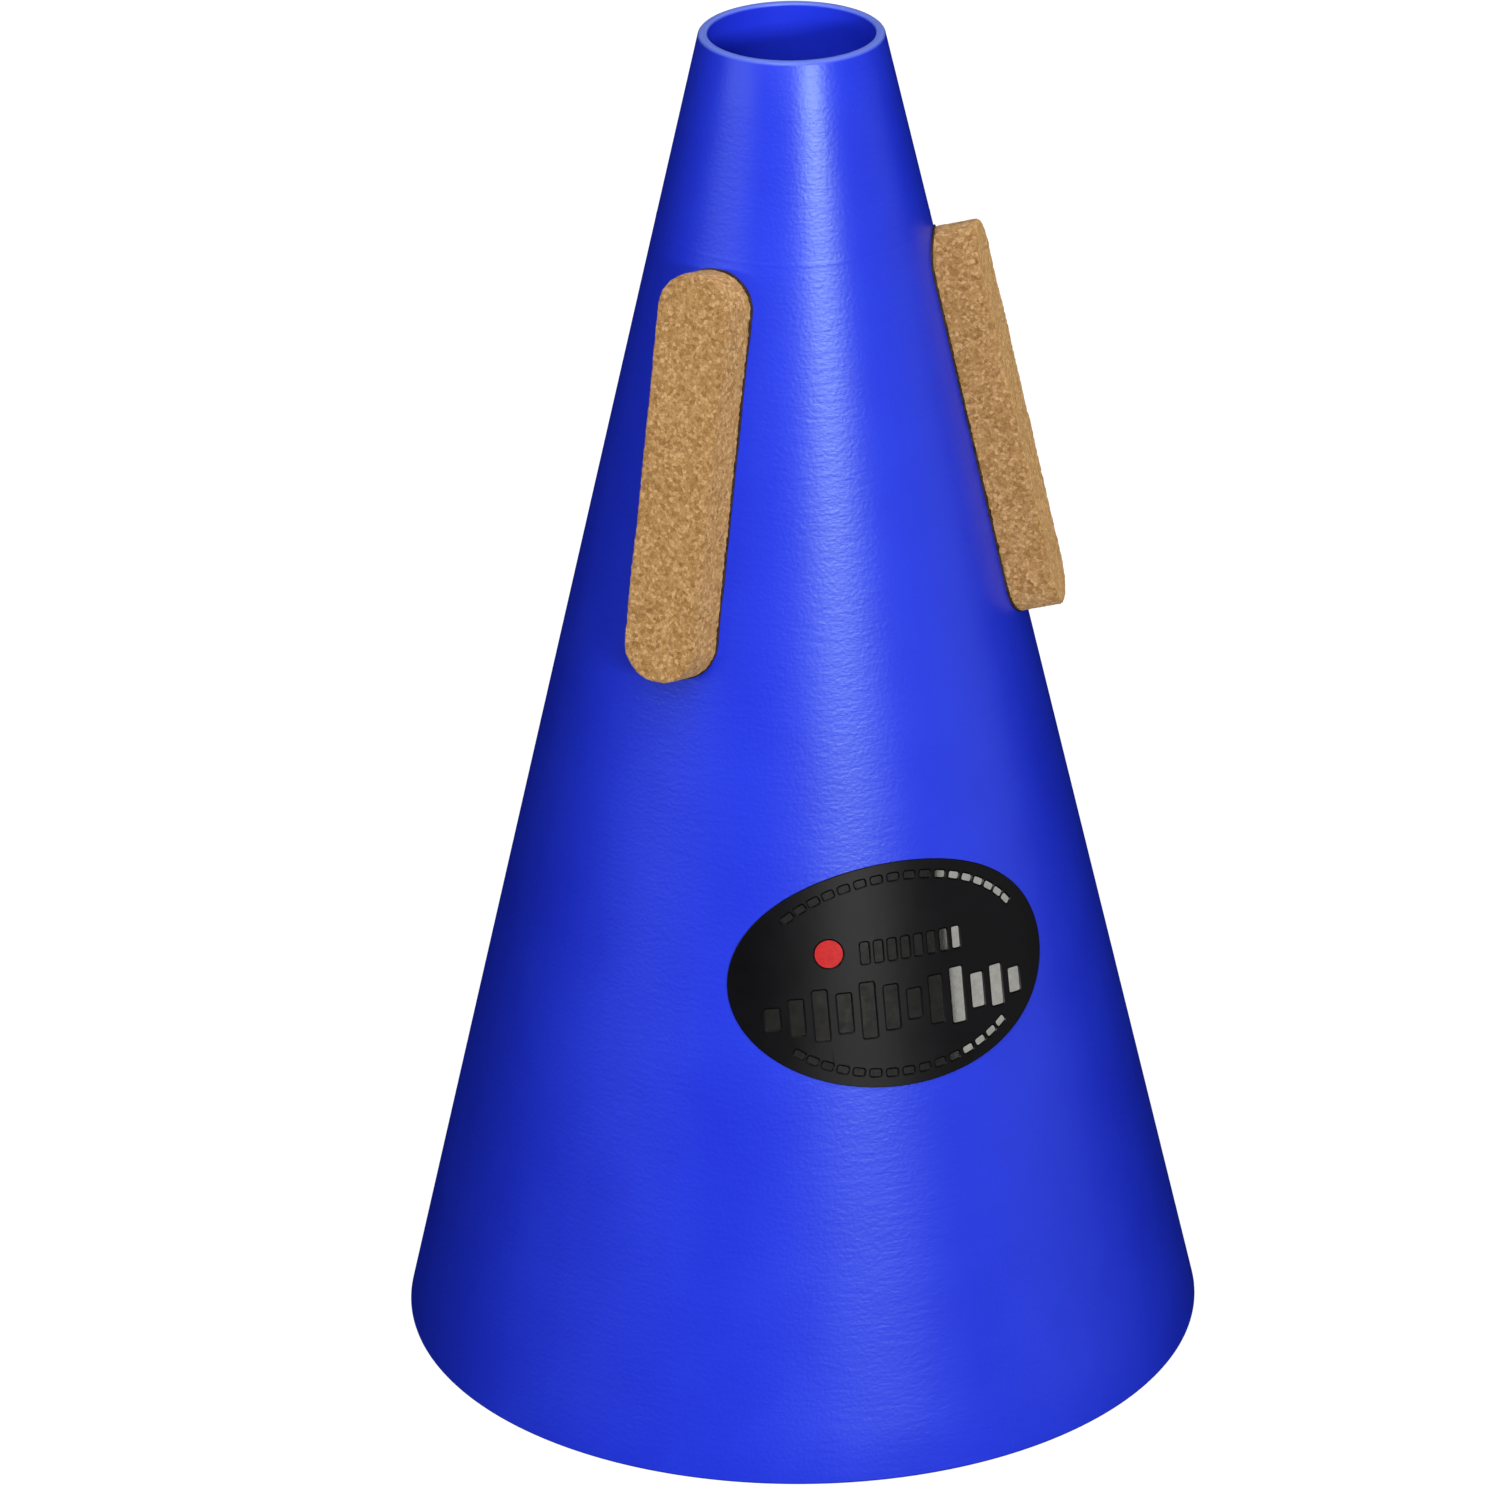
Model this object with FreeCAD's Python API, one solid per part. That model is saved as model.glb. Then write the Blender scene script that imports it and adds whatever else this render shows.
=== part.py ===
"""Straight mute for a trumpet: a hollow plastic cone closed at its wide end, with three cork strips.

The frame's origin is the centre of the wide end's rim, on the surface that the mute stands on.
+Z runs up the axis to the open narrow end, and -Y is the front, where the oval label is.
Azimuths are in degrees round the axis, from the front towards +X. Lengths are in millimetres.
"""
import FreeCAD, Part
import math
import os

Vector = FreeCAD.Vector

# Cone
base_radius = 50.0
mouth_radius = 11.1
cone_height = 169.6
wall = 1.1                     # square to the slope
lip_round = 0.4                # edges of the open narrow end
rim_round = 0.35               # edges of the rim that the mute stands on

# End plate, set up into the wide end against a moulded ledge
rebate_radius = 47.9
ledge_height = 3.4
ledge_top = 6.5
ledge_width = 1.7
plate_gap = 0.1
plate_thickness = 2.0
plate_ring_radius = 30.0
plate_ring_width = 1.6
plate_ring_height = 0.5
gate_dimple_radius = 4.0
gate_dimple_depth = 0.5
gate_mark_radius = 0.9
gate_mark_height = 0.3
cement_leg = 0.7

# Cork strips: name, azimuth, lean of the upper end towards higher azimuth
cork_strips = (("left", -31.4, -0.4), ("right", 83.0, 2.1), ("rear", 206.0, 0.6))
cork_length = 49.6
cork_width = 9.6
cork_thickness = 5.4
cork_corner_radius = 4.5
cork_edge_round = 0.5
cork_up_slope = 123.8          # from the wide end's rim to a strip's middle, along the slope
adhesive_thickness = 0.2
adhesive_inset = 0.15

# Oval label, cut flat and wrapped round the cone
label_azimuth = 19.7
label_up_slope = 63.05
label_half_width = 21.2
label_half_height = 13.85
film_thickness = 0.25
foil_thickness = 0.1
outline_points = 40

# Printed marks on the label: a row of upright bars, a row of short bars, dashes along the oval, a dot
bar_heights = (2.6, 4.4, 6.2, 4.8, 6.8, 5.4, 3.6, 5.8, 6.8, 4.2, 5.0, 3.0)
bar_pitch = 2.9
bar_width = 1.7
bar_middle = -3.9
short_bar_count = 8
short_bar_pitch = 1.7
short_bar_width = 1.0
short_bar_height = 2.6
short_bar_middle = 3.2
dash_oval_scale = 0.87
dash_length = 1.3
dash_height = 0.8
dashes_above = 19
dashes_below = 15
dash_step = 6.5                # degrees of the oval's own angle
dot_radius = 1.7
dot_place = (-8.6, 3.6)

slope_angle = math.atan((base_radius - mouth_radius) / cone_height)
sin_slope = math.sin(slope_angle)
cos_slope = math.cos(slope_angle)
tan_slope = math.tan(slope_angle)
wall_level = wall / cos_slope  # the wall's thickness measured level
overshoot = 5.0


def save(name, shape):
    """Write one sub-part, after checking that it is made of closed solids."""
    if not shape.isValid() or not shape.Solids:
        raise ValueError(name + " is not a valid solid")
    shape.exportStep("parts/" + name + ".step")
    box = shape.BoundBox
    print("%-22s solids %2d  volume %10.2f  z %7.2f to %7.2f"
          % (name, len(shape.Solids), shape.Volume, box.ZMin, box.ZMax))


def outer_radius(z):
    return base_radius - z * tan_slope


def turned(points):
    """Solid of revolution about Z from (radius, height) corners."""
    corners = [Vector(r, 0, z) for r, z in points]
    face = Part.Face(Part.makePolygon(corners + corners[:1]))
    return face.revolve(Vector(0, 0, 0), Vector(0, 0, 1), 360)


def circles_at(shape, wanted):
    """Circular edges of a turned shape at the given (radius, height) pairs."""
    found = []
    for edge in shape.Edges:
        curve = edge.Curve
        if not isinstance(curve, Part.Circle):
            continue
        for r, z in wanted:
            if abs(curve.Radius - r) < 1e-4 and abs(curve.Center.z - z) < 1e-4:
                found.append(edge)
    return found


def cone_grown_by(offset):
    """Solid cone whose slope stands off the shell's outer slope by an offset, along the whole height."""
    grown = offset / cos_slope
    return Part.makeCone(base_radius + grown, mouth_radius + grown, cone_height)


def skin_between(inner, outer):
    """Layer that lies on the cone, between two offsets from its outer slope."""
    return cone_grown_by(outer).cut(cone_grown_by(inner))


def seat_on_cone(azimuth, up_slope):
    """Placement on the slope: X round the cone, Y up the slope, Z square out of it."""
    a = math.radians(azimuth)
    radius = base_radius - up_slope * sin_slope
    place = Vector(radius * math.sin(a), -radius * math.cos(a), up_slope * cos_slope)
    x = Vector(math.cos(a), math.sin(a), 0)
    y = Vector(-sin_slope * math.sin(a), sin_slope * math.cos(a), cos_slope)
    z = x.cross(y)
    return FreeCAD.Placement(place, FreeCAD.Rotation(x, y, z, "XYZ"))


def cone_shell():
    """Injection-moulded cone, open at the narrow end, with a ledge inside the wide end."""
    ledge_inner = rebate_radius - ledge_width
    slant_start = ledge_top + outer_radius(ledge_top) - wall_level - ledge_inner
    profile = [
        (base_radius, 0),
        (mouth_radius, cone_height),
        (mouth_radius - wall_level, cone_height),
        (outer_radius(slant_start) - wall_level, slant_start),
        (ledge_inner, ledge_top),
        (ledge_inner, ledge_height),
        (rebate_radius, ledge_height),
        (rebate_radius, 0),
    ]
    shell = turned(profile)
    lip = [(mouth_radius, cone_height), (mouth_radius - wall_level, cone_height)]
    shell = shell.makeFillet(lip_round, circles_at(shell, lip))
    rim = [(base_radius, 0), (rebate_radius, 0)]
    return shell.makeFillet(rim_round, circles_at(shell, rim))


def end_plate():
    """Disc that closes the wide end, with a stiffening ring and the moulding's gate mark below."""
    plate_bottom = ledge_height - plate_thickness
    ring_inner = plate_ring_radius - plate_ring_width
    profile = [
        (0, ledge_height),
        (rebate_radius - plate_gap, ledge_height),
        (rebate_radius - plate_gap, plate_bottom),
        (plate_ring_radius, plate_bottom),
        (plate_ring_radius, plate_bottom - plate_ring_height),
        (ring_inner, plate_bottom - plate_ring_height),
        (ring_inner, plate_bottom),
        (gate_dimple_radius, plate_bottom),
        (gate_dimple_radius, plate_bottom + gate_dimple_depth),
        (gate_mark_radius, plate_bottom + gate_dimple_depth),
        (gate_mark_radius, plate_bottom + gate_dimple_depth - gate_mark_height),
        (0, plate_bottom + gate_dimple_depth - gate_mark_height),
    ]
    return turned(profile)


def end_plate_cement():
    """Bead of solvent cement in the corner between the plate and the rim."""
    corner = ledge_height - plate_thickness
    hollow = cement_leg * 0.4
    return turned([
        (rebate_radius, corner),
        (rebate_radius, corner - cement_leg),
        (rebate_radius - hollow, corner - hollow),
        (rebate_radius - cement_leg, corner),
    ])


def strip_outline(width, length, corner):
    """Face of a round-ended strip in its own plane."""
    x = width / 2
    y = length / 2
    box = Part.makeBox(width, length, 1, Vector(-x, -y, 0))
    uprights = [e for e in box.Edges if abs(e.Vertexes[0].Z - e.Vertexes[1].Z) > 0.5]
    rounded = box.makeFillet(corner, uprights)
    return [f for f in rounded.Faces if abs(f.CenterOfMass.z) < 1e-6][0]


def strip_block(azimuth, lean, inset, below, above):
    """Strip standing on the slope, from below its seat to above it, before the cone is cut from it."""
    corner = cork_corner_radius - inset
    face = strip_outline(cork_width - 2 * inset, cork_length - 2 * inset, corner)
    face.translate(Vector(0, 0, -below))
    block = face.extrude(Vector(0, 0, below + above))
    block.rotate(Vector(0, 0, 0), Vector(0, 0, 1), -lean)
    return block


def cork_strip(azimuth, lean):
    """Cork strip with its underside shaped to the cone and its outer edges eased."""
    block = strip_block(azimuth, lean, 0, overshoot, cork_thickness)
    top_edges = [e for e in block.Edges if all(abs(v.Z - cork_thickness) < 1e-6 for v in e.Vertexes)]
    block = block.makeFillet(cork_edge_round, top_edges)
    block.Placement = seat_on_cone(azimuth, cork_up_slope).multiply(block.Placement)
    return block.cut(cone_grown_by(adhesive_thickness))


def cork_adhesive(azimuth, lean):
    """Layer of contact cement under a cork strip."""
    block = strip_block(azimuth, lean, adhesive_inset, overshoot, cork_thickness / 2)
    block.Placement = seat_on_cone(azimuth, cork_up_slope).multiply(block.Placement)
    return block.common(skin_between(0, adhesive_thickness))


def label_point(u, v):
    """Where a point of the flat label lands, in the plane that touches the cone at the label's middle.

    The label is flat stock, so it rolls round the cone about the apex without stretching.
    """
    apex_to_middle = base_radius / sin_slope - label_up_slope
    from_apex = math.hypot(u, apex_to_middle - v)
    turn = math.atan2(u, apex_to_middle - v) / sin_slope
    x = from_apex * sin_slope * math.sin(turn)
    up = (apex_to_middle - from_apex) * cos_slope
    inward = apex_to_middle * sin_slope - from_apex * sin_slope * math.cos(turn)
    return Vector(x, up * cos_slope + inward * sin_slope, 0)


def raised_mark(outline, smooth):
    """Prism through the label from an outline in label coordinates, placed on the cone."""
    points = [label_point(u, v) for u, v in outline]
    if smooth:
        curve = Part.BSplineCurve()
        curve.interpolate(points, PeriodicFlag=True)
        wire = Part.Wire(curve.toShape())
    else:
        wire = Part.makePolygon(points + points[:1])
    face = Part.Face(wire)
    face.translate(Vector(0, 0, -3 * overshoot))
    block = face.extrude(Vector(0, 0, 4 * overshoot))
    block.Placement = seat_on_cone(label_azimuth, label_up_slope).multiply(block.Placement)
    return block


def oval(half_width, half_height, centre, count):
    """Points round an oval in label coordinates."""
    angles = [2 * math.pi * i / count for i in range(count)]
    return [(centre[0] + half_width * math.cos(t), centre[1] + half_height * math.sin(t)) for t in angles]


def slab(centre, width, height, turn):
    """Corners of a rectangle in label coordinates, turned about its centre."""
    c = math.cos(turn)
    s = math.sin(turn)
    halves = ((-1, -1), (1, -1), (1, 1), (-1, 1))
    return [(centre[0] + c * i * width / 2 - s * j * height / 2,
             centre[1] + s * i * width / 2 + c * j * height / 2) for i, j in halves]


def dash_row(count, middle_angle):
    """Dashes that follow the oval's edge, centred on an angle of the oval."""
    a = label_half_width * dash_oval_scale
    b = label_half_height * dash_oval_scale
    dashes = []
    for i in range(count):
        t = math.radians(middle_angle + (i - (count - 1) / 2) * dash_step)
        along = math.atan2(b * math.cos(t), -a * math.sin(t))
        dashes.append(slab((a * math.cos(t), b * math.sin(t)), dash_length, dash_height, along))
    return dashes


def label_film():
    """Black vinyl oval."""
    edge = oval(label_half_width, label_half_height, (0, 0), outline_points)
    return raised_mark(edge, True).common(skin_between(0, film_thickness))


def label_foil_print():
    """Silver foil marks on the film."""
    outlines = []
    for i, height in enumerate(bar_heights):
        u = (i - (len(bar_heights) - 1) / 2) * bar_pitch
        outlines.append(slab((u, bar_middle), bar_width, height, 0))
    for i in range(short_bar_count):
        u = (i - (short_bar_count - 1) / 2) * short_bar_pitch + dot_radius
        outlines.append(slab((u, short_bar_middle), short_bar_width, short_bar_height, 0))
    outlines += dash_row(dashes_above, 90)
    outlines += dash_row(dashes_below, 270)
    foil = skin_between(film_thickness, film_thickness + foil_thickness)
    marks = [raised_mark(outline, False).common(foil).Solids[0] for outline in outlines]
    return Part.makeCompound(marks)


def label_red_mark():
    """Red dot printed on the film."""
    edge = oval(dot_radius, dot_radius, dot_place, outline_points // 2)
    return raised_mark(edge, True).common(skin_between(film_thickness, film_thickness + foil_thickness))


os.makedirs("parts", exist_ok=True)
save("cone_shell", cone_shell())
save("end_plate", end_plate())
save("end_plate_cement", end_plate_cement())
for strip_name, strip_azimuth, strip_lean in cork_strips:
    save("cork_strip_" + strip_name, cork_strip(strip_azimuth, strip_lean))
    save("cork_adhesive_" + strip_name, cork_adhesive(strip_azimuth, strip_lean))
save("label_film", label_film())
save("label_foil_print", label_foil_print())
save("label_red_mark", label_red_mark())
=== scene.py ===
import math

import bpy
from mathutils import Matrix, Vector, noise


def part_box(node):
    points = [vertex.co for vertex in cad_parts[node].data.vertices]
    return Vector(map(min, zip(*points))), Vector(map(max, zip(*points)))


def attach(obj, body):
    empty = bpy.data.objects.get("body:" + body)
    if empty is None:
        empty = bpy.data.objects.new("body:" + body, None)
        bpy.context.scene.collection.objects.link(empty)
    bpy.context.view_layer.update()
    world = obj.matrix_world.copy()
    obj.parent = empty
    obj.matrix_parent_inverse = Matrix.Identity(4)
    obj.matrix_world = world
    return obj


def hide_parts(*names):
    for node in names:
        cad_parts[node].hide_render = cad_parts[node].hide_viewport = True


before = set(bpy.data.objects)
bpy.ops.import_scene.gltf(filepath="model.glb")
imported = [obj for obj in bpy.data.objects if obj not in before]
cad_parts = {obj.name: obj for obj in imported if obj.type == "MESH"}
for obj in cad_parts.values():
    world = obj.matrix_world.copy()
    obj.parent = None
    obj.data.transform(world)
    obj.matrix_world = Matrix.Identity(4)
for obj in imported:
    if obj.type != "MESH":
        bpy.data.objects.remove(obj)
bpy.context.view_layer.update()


# ---------------------------------------------------------------------------------------------
# The cone: one injection moulding in royal-blue ABS, open at the narrow end. Inside its wide
# end a ledge is moulded for the end plate, and the wall runs out to a flat rim that it stands on.
# ---------------------------------------------------------------------------------------------
MM = 0.001
base_radius = 50.0 * MM
mouth_radius = 11.1 * MM
cone_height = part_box("cone_shell")[1][2]
wall = 1.1 * MM
lip_round = 0.4 * MM
rim_round = 0.35 * MM
rebate_radius = 47.9 * MM
ledge_radius = 46.2 * MM
ledge_bottom = 3.4 * MM
ledge_top = 6.5 * MM
slope_angle = math.atan2(base_radius - mouth_radius, cone_height)
wall_level = wall / math.cos(slope_angle)
cone_steps = 256                  # sides of the turned cone
slope_steps = 24                  # rings up its slope
witness_height = 146.2 * MM       # joint of the mould's two inserts: a hair-fine raised ring
witness_half_width = 0.22 * MM
witness_stand = 0.02 * MM
lip_highlight_starts = 0.42 * MM           # how far below the top the painted highlight on the lip begins
lip_highlight_full = 0.08 * MM


def start_clear():
    """Leaves edit mode and lets go of everything, so that an operator acts on the new piece alone."""
    if bpy.context.object and bpy.context.object.mode == "EDIT":
        bpy.ops.object.mode_set(mode="OBJECT")
    bpy.ops.object.select_all(action="DESELECT")


def take_up(piece):
    """Lets go of everything else and selects one piece, ready for an operator."""
    start_clear()
    piece.select_set(True)
    bpy.context.view_layer.objects.active = piece


def turn_faces_out():
    """In edit mode, points every face of the piece outwards."""
    bpy.ops.mesh.select_all(action="SELECT")
    bpy.ops.mesh.normals_make_consistent(inside=False)


def pick(piece, kind, wanted):
    """In edit mode, selects just the verts, edges or faces that pass a test on their middle and normal."""
    bpy.ops.object.mode_set(mode="OBJECT")
    mesh = piece.data
    for group in (mesh.vertices, mesh.edges, mesh.polygons):
        for item in group:
            item.select = False
    for item in getattr(mesh, {"VERT": "vertices", "EDGE": "edges", "FACE": "polygons"}[kind]):
        if kind == "VERT":
            item.select = wanted(item.co)
        elif kind == "EDGE":
            item.select = wanted(*(mesh.vertices[i].co for i in item.vertices))
        else:
            item.select = wanted(item.center, item.normal)
    bpy.ops.object.mode_set(mode="EDIT")
    bpy.ops.mesh.select_mode(type=kind)


def apply_modifiers(piece):
    """Applies every modifier, in order, so that the mesh itself has the final shape."""
    bpy.context.view_layer.objects.active = piece
    for modifier in list(piece.modifiers):
        bpy.ops.object.modifier_apply(modifier=modifier.name)


def outer_radius(level):
    return base_radius - level * math.tan(slope_angle)


def on_ring(radius, level, reach=0.01 * MM):
    """Test for an edge that lies along a ring of the turned profile."""
    def wanted(a, b):
        return all(abs(p.z - level) < reach and abs(p.xy.length - radius) < reach for p in (a, b))
    return wanted


start_clear()
bpy.ops.mesh.primitive_circle_add(vertices=cone_steps, radius=base_radius, location=(0, 0, 0))
cone = bpy.context.object
cone.name = "cone"
bpy.ops.object.mode_set(mode="EDIT")
bpy.ops.mesh.select_all(action="SELECT")

levels = [cone_height * step / slope_steps for step in range(1, slope_steps)]
profile = [(outer_radius(z), z) for z in levels]
for away in (-4, -2, -1, 1, 2, 4):
    level = witness_height + away * witness_half_width
    profile.append((outer_radius(level), level))
profile.append((outer_radius(witness_height) + witness_stand, witness_height))
profile.sort(key=lambda ring: ring[1])
profile += [(mouth_radius, cone_height), (mouth_radius - wall_level, cone_height)]
ledge_foot = ledge_top + outer_radius(ledge_top) - wall_level - ledge_radius
profile += [(outer_radius(z) - wall_level, z) for z in reversed(levels) if z > ledge_foot + 1 * MM]
profile += [
    (outer_radius(ledge_foot) - wall_level, ledge_foot),
    (ledge_radius, ledge_top),
    (ledge_radius, ledge_bottom),
    (rebate_radius, ledge_bottom),
    (rebate_radius, 0),
]
radius_now, level_now = base_radius, 0.0
for radius, level in profile:
    bpy.ops.mesh.extrude_edges_move(TRANSFORM_OT_translate={"value": (0, 0, level - level_now)})
    bpy.ops.transform.resize(value=(radius / radius_now, radius / radius_now, 1),
                             center_override=(0, 0, level))
    radius_now, level_now = radius, level

# The last ring closes on the first across the flat of the rim.
pick(cone, "EDGE", lambda a, b: on_ring(rebate_radius, 0)(a, b) or on_ring(base_radius, 0)(a, b))
bpy.ops.mesh.bridge_edge_loops()
turn_faces_out()

for ring_radius, ring_level, rounding in (
    (mouth_radius, cone_height, lip_round),
    (mouth_radius - wall_level, cone_height, lip_round),
    (base_radius, 0, rim_round),
    (rebate_radius, 0, rim_round),
    (ledge_radius, ledge_top, rim_round),
    (ledge_radius, ledge_bottom, rim_round),
):
    pick(cone, "EDGE", on_ring(ring_radius, ring_level))
    bpy.ops.mesh.bevel(offset=rounding, offset_type="OFFSET", segments=5, profile=0.5)
take_up(cone)
bpy.ops.object.shade_smooth_by_angle(angle=math.radians(40))


def linear(hex_text):
    """An sRGB hex colour as the linear RGBA that shaders take."""
    channels = [int(hex_text[i:i + 2], 16) / 255 for i in (1, 3, 5)]
    return tuple(c / 12.92 if c <= 0.04045 else ((c + 0.055) / 1.055) ** 2.4 for c in channels) + (1.0,)


def new_material(name):
    material = bpy.data.materials.new(name)
    material.use_nodes = True
    return material, material.node_tree.nodes["Principled BSDF"]


def feed(material, node, **inputs):
    """Links an input that is given as a socket, and sets any other value on it.

    An input goes by its own name, with _ for a space, or as i0, i1 and so on by its number."""
    for name, value in inputs.items():
        numbered = name[0] == "i" and name[1:].isdigit()
        socket = node.inputs[int(name[1:]) if numbered else name.replace("_", " ")]
        if isinstance(value, bpy.types.NodeSocket):
            material.node_tree.links.new(value, socket)
        else:
            socket.default_value = value


def add(material, kind, settings=None, **inputs):
    """Adds a shader node with its settings and its inputs."""
    made = material.node_tree.nodes.new(kind)
    for name, value in (settings or {}).items():
        setattr(made, name, value)
    feed(material, made, **inputs)
    return made


def ramp(material, fac, stops):
    """A colour ramp from a list of (place, colour)."""
    made = add(material, "ShaderNodeValToRGB", None, Fac=fac)
    elements = made.color_ramp.elements
    while len(elements) < len(stops):
        elements.new(0.5)
    for element, (place, colour) in zip(elements, stops):
        element.position = place
        element.color = colour
    return made


# ABS off a spark-eroded mould: satin, with an even pebble and the faint rings that turning left in the
# mould, which break up the edge of a highlight and leave the colour flat. Both are drawn coarser than
# they are, so that they show. The pigment gives its reflections a cast of cyan, and a painted highlight
# lightens the top of the lip to a pale blue.
abs_pebble = 0.45 * MM
abs_ring_gap = 0.7 * MM
abs_relief = 0.025 * MM
handled_patch = 14 * MM
abs_blue, shader = new_material("moulded_abs_royal_blue")
place = add(abs_blue, "ShaderNodeTexCoord").outputs["Object"]
pebble = add(abs_blue, "ShaderNodeTexNoise", None, Vector=place,
             Scale=1 / abs_pebble, Detail=2.0, Roughness=0.5)
rings_place = add(abs_blue, "ShaderNodeMapping", None, Vector=place, Scale=(0.25, 0.25, 1.0))
rings = add(abs_blue, "ShaderNodeTexNoise", None, Vector=rings_place.outputs["Vector"],
            Scale=1 / abs_ring_gap, Detail=2.0, Roughness=0.6)
relief = add(abs_blue, "ShaderNodeMath", {"operation": "MULTIPLY_ADD"},
             i0=rings.outputs["Fac"], i1=0.9, i2=pebble.outputs["Fac"])
bump = add(abs_blue, "ShaderNodeBump", None, Strength=1.0, Distance=abs_relief,
           Height=relief.outputs["Value"])
handled = add(abs_blue, "ShaderNodeTexNoise", None, Vector=place, Scale=1 / handled_patch, Detail=4.0)
satin = add(abs_blue, "ShaderNodeMapRange", None, Value=handled.outputs["Fac"], To_Min=0.33, To_Max=0.39)
tint = ramp(abs_blue, handled.outputs["Fac"], ((0.3, linear("#2236E3")), (0.7, linear("#263CEB"))))
along = add(abs_blue, "ShaderNodeSeparateXYZ", None, Vector=place)
# Painted highlight: the top few tenths of a millimetre of the lip are mixed towards a pale blue.
lip_highlight_mask = add(abs_blue, "ShaderNodeMapRange", None, Value=along.outputs["Z"],
              From_Min=cone_height - lip_highlight_starts, From_Max=cone_height - lip_highlight_full,
              To_Min=0.0, To_Max=0.65)
lip_highlight_painted = add(abs_blue, "ShaderNodeMix", {"data_type": "RGBA"}, i0=lip_highlight_mask.outputs["Result"],
             i6=tint.outputs["Color"], i7=linear("#86A0FF"))
feed(abs_blue, shader, Base_Color=lip_highlight_painted.outputs[2], Roughness=satin.outputs["Result"],
     Normal=bump.outputs["Normal"], IOR=1.53, Specular_Tint=(0.76, 1.0, 0.6, 1.0), Specular_IOR_Level=0.6)
cone.data.materials.append(abs_blue)
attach(cone, "root")
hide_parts("cone_shell")


# ---------------------------------------------------------------------------------------------
# The end plate: a 2 mm ABS disc pushed up into the wide end against the ledge. Its underside has
# a stiffening ring and, at the centre, the dimple and stub that the moulding's gate leaves.
# ---------------------------------------------------------------------------------------------
plate_radius = 47.8 * MM
plate_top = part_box("end_plate")[1][2]
plate_thickness = 2.0 * MM
plate_ring_radius = 30.0 * MM
plate_ring_width = 1.6 * MM
plate_ring_height = 0.5 * MM
gate_dimple_radius = 4.0 * MM
gate_dimple_depth = 0.5 * MM
gate_stub_radius = 0.9 * MM
gate_stub_height = 0.3 * MM
plate_edge_round = 0.15 * MM

start_clear()
bpy.ops.mesh.primitive_cylinder_add(vertices=192, radius=plate_radius, depth=plate_thickness,
                                    location=(0, 0, plate_top - plate_thickness / 2))
plate = bpy.context.object
plate.name = "end_plate_disc"
bpy.ops.object.transform_apply(location=True)
bpy.ops.object.mode_set(mode="EDIT")
pick(plate, "FACE", lambda middle, normal: normal.z < -0.9)
ring_inner = plate_ring_radius - plate_ring_width
steps = (
    (plate_radius - plate_ring_radius, -plate_ring_height),
    (plate_ring_width, plate_ring_height),
    (ring_inner - gate_dimple_radius, gate_dimple_depth),
    (gate_dimple_radius - gate_stub_radius, -gate_stub_height),
)
for inset, rise in steps:
    bpy.ops.mesh.inset(thickness=inset)
    bpy.ops.mesh.extrude_region_move(TRANSFORM_OT_translate={"value": (0, 0, rise)})
take_up(plate)
bevel = plate.modifiers.new("eased", "BEVEL")
bevel.width = plate_edge_round
bevel.segments = 3
bevel.limit_method = "ANGLE"
bevel.angle_limit = math.radians(40)
apply_modifiers(plate)
bpy.ops.object.shade_smooth_by_angle(angle=math.radians(35))

# The same ABS, but the flat tool that formed it was turned: fine rings about the gate, under a skin
# that is duller in some patches than in others.
plate_ring_gap = 2.4 * MM
plate_grain = 0.5 * MM
scuff_patch = 9 * MM
abs_plate, shader = new_material("moulded_abs_turned_plate")
place = add(abs_plate, "ShaderNodeTexCoord").outputs["Object"]
turned = add(abs_plate, "ShaderNodeTexWave", {"wave_type": "RINGS", "rings_direction": "Z"},
             Vector=place, Scale=1 / plate_ring_gap, Distortion=0.4, Detail=2.0)
grain = add(abs_plate, "ShaderNodeTexNoise", None, Vector=place, Scale=1 / plate_grain, Detail=3.0)
relief = add(abs_plate, "ShaderNodeMath", {"operation": "MULTIPLY_ADD"},
             i0=turned.outputs["Fac"], i1=0.5, i2=grain.outputs["Fac"])
bump = add(abs_plate, "ShaderNodeBump", None, Strength=0.3, Distance=0.02 * MM,
           Height=relief.outputs["Value"])
scuffs = add(abs_plate, "ShaderNodeTexNoise", None, Vector=place, Scale=1 / scuff_patch,
             Detail=6.0, Roughness=0.7)
dull = add(abs_plate, "ShaderNodeMapRange", None, Value=scuffs.outputs["Fac"], To_Min=0.32, To_Max=0.52)
tint = ramp(abs_plate, scuffs.outputs["Fac"], ((0.3, linear("#1E33D6")), (0.75, linear("#263CE2"))))
feed(abs_plate, shader, Base_Color=tint.outputs["Color"], Roughness=dull.outputs["Result"],
     Normal=bump.outputs["Normal"], IOR=1.53)
plate.data.materials.append(abs_plate)
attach(plate, "root")
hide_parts("end_plate")


# ---------------------------------------------------------------------------------------------
# The cement: a bead of solvent cement run by hand round the corner between plate and rim, where
# it has softened the ABS and set hard and shiny, thicker in some places than in others.
# ---------------------------------------------------------------------------------------------
cement_leg = 0.7 * MM
cement_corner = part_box("end_plate_cement")[1][2]
cement_fullness = 0.72             # share of the full leg, on average round the rim
cement_waver = 0.2
cement_ripple = 0.08

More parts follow.
